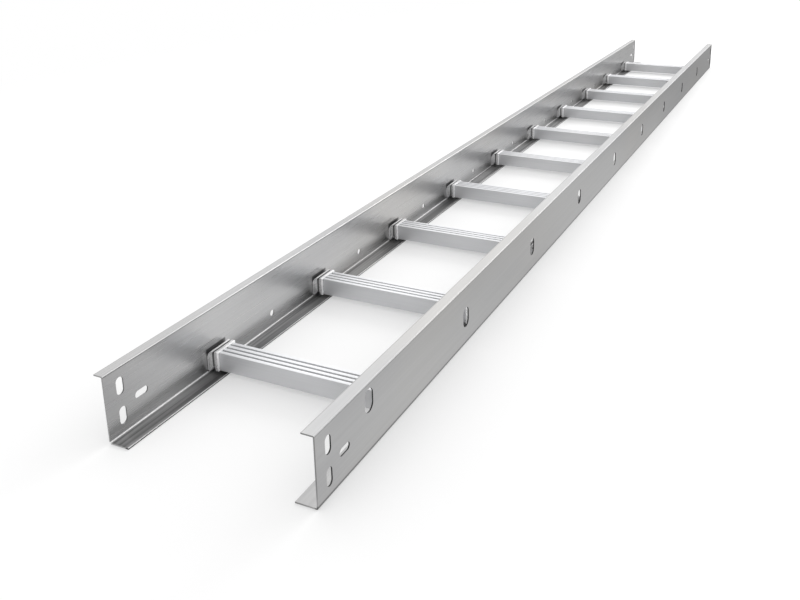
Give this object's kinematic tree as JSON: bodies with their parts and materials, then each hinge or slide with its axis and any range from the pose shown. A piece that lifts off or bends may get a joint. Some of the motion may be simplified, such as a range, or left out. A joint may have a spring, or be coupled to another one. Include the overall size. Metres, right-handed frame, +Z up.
{
  "type": "cable ladder section",
  "caption": "Straight cable ladder section with folded side rails, grooved rungs on extruded end brackets, and slotted rail ends for splice plates.",
  "frame": {"origin": "centre of the overall footprint, on the floor that the bottom flanges rest on", "axes": "+Y along the rails towards the far end, +X across towards the rail whose top flange turns inward, +Z up"},
  "size_m": [0.338, 3.048, 0.1],
  "materials": {
    "rail_metal": "satin brushed",
    "rung_metal": "satin",
    "bracket_metal": "satin"
  },
  "bodies": {
    "root": {"side_rail_left": "rail_metal", "side_rail_right": "rail_metal", "rung_01": "rung_metal", "rung_02": "rung_metal", "rung_03": "rung_metal", "rung_04": "rung_metal", "rung_05": "rung_metal", "rung_06": "rung_metal", "rung_07": "rung_metal", "rung_08": "rung_metal", "rung_09": "rung_metal", "rung_10": "rung_metal", "rung_bracket_left_01": "bracket_metal", "rung_bracket_left_02": "bracket_metal", "rung_bracket_left_03": "bracket_metal", "rung_bracket_left_04": "bracket_metal", "rung_bracket_left_05": "bracket_metal", "rung_bracket_left_06": "bracket_metal", "rung_bracket_left_07": "bracket_metal", "rung_bracket_left_08": "bracket_metal", "rung_bracket_left_09": "bracket_metal", "rung_bracket_left_10": "bracket_metal", "rung_bracket_right_01": "bracket_metal", "rung_bracket_right_02": "bracket_metal", "rung_bracket_right_03": "bracket_metal", "rung_bracket_right_04": "bracket_metal", "rung_bracket_right_05": "bracket_metal", "rung_bracket_right_06": "bracket_metal", "rung_bracket_right_07": "bracket_metal", "rung_bracket_right_08": "bracket_metal", "rung_bracket_right_09": "bracket_metal", "rung_bracket_right_10": "bracket_metal"}
  },
  "joints": []
}
